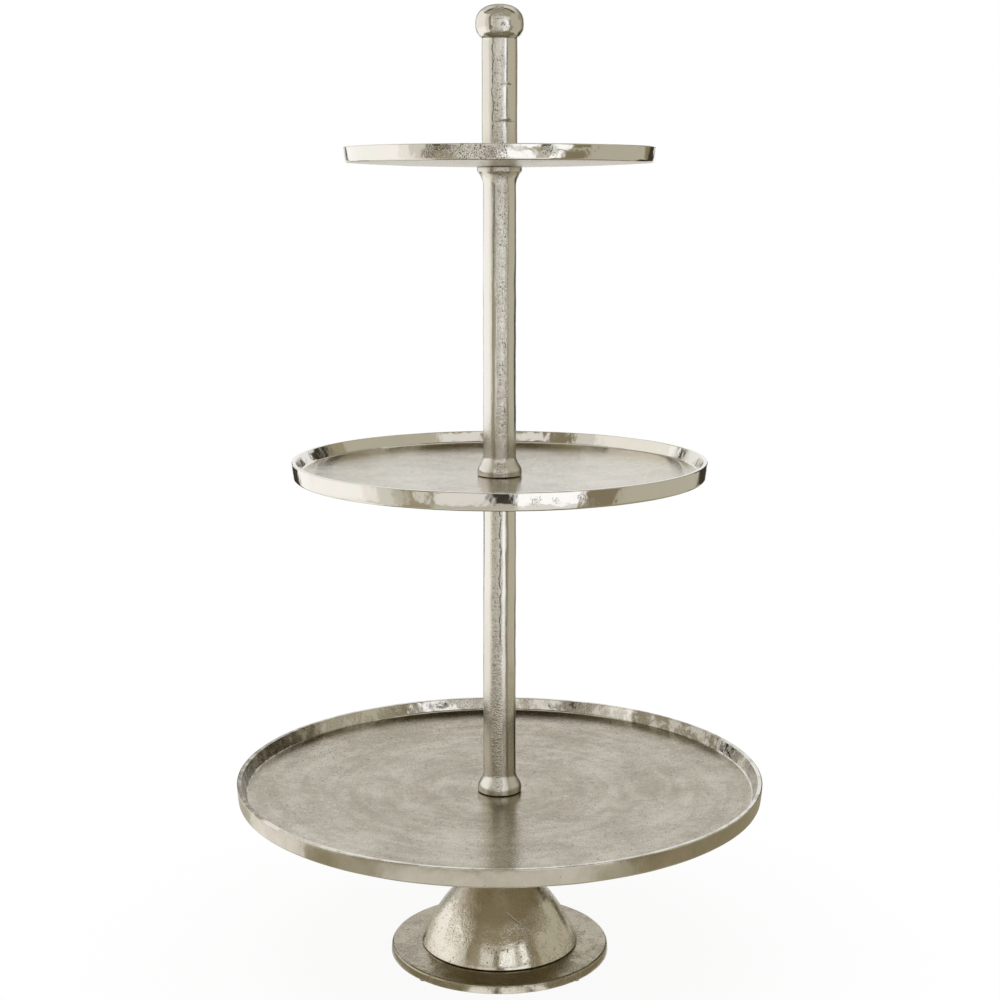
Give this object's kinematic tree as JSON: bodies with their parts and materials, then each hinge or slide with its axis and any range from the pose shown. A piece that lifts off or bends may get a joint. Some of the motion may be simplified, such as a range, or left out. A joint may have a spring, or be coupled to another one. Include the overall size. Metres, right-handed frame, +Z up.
{
  "type": "three-tier etagere",
  "caption": "Tiered serving stand: dished round cast trays of falling size on flanged round posts, a ball-topped lifting handle, a bell foot on a round plate.",
  "frame": {"origin": "on the stand's axis, on the surface that its felt pads stand on", "axes": "+Z up along the posts, -Y towards the viewer of the picture, +X to the viewer's right"},
  "size_m": [0.5068, 0.5068, 0.9136],
  "materials": {
    "tray_casting": "sand-cast aluminium, raw nickel plate, ground and polished by hand, fine pits, warm silver",
    "post_casting": "sand-cast aluminium, raw nickel plate, turned and polished, fine chatter ripples and pits",
    "foot_casting": "sand-cast aluminium, raw nickel plate, satin with speckled pits",
    "zinc_steel": "bright zinc-plated steel",
    "felt": "dense black felt"
  },
  "bodies": {
    "root": {"foot_pads": "felt", "foot_plate": "foot_casting", "foot_bell": "foot_casting", "foot_washer": "zinc_steel", "foot_lock_washer": "zinc_steel", "foot_bolt": "zinc_steel", "large_tray": "tray_casting", "lower_post": "post_casting", "lower_stud": "zinc_steel", "medium_tray": "tray_casting", "upper_post": "post_casting", "upper_stud": "zinc_steel", "small_tray": "tray_casting", "handle": "post_casting"}
  },
  "joints": []
}
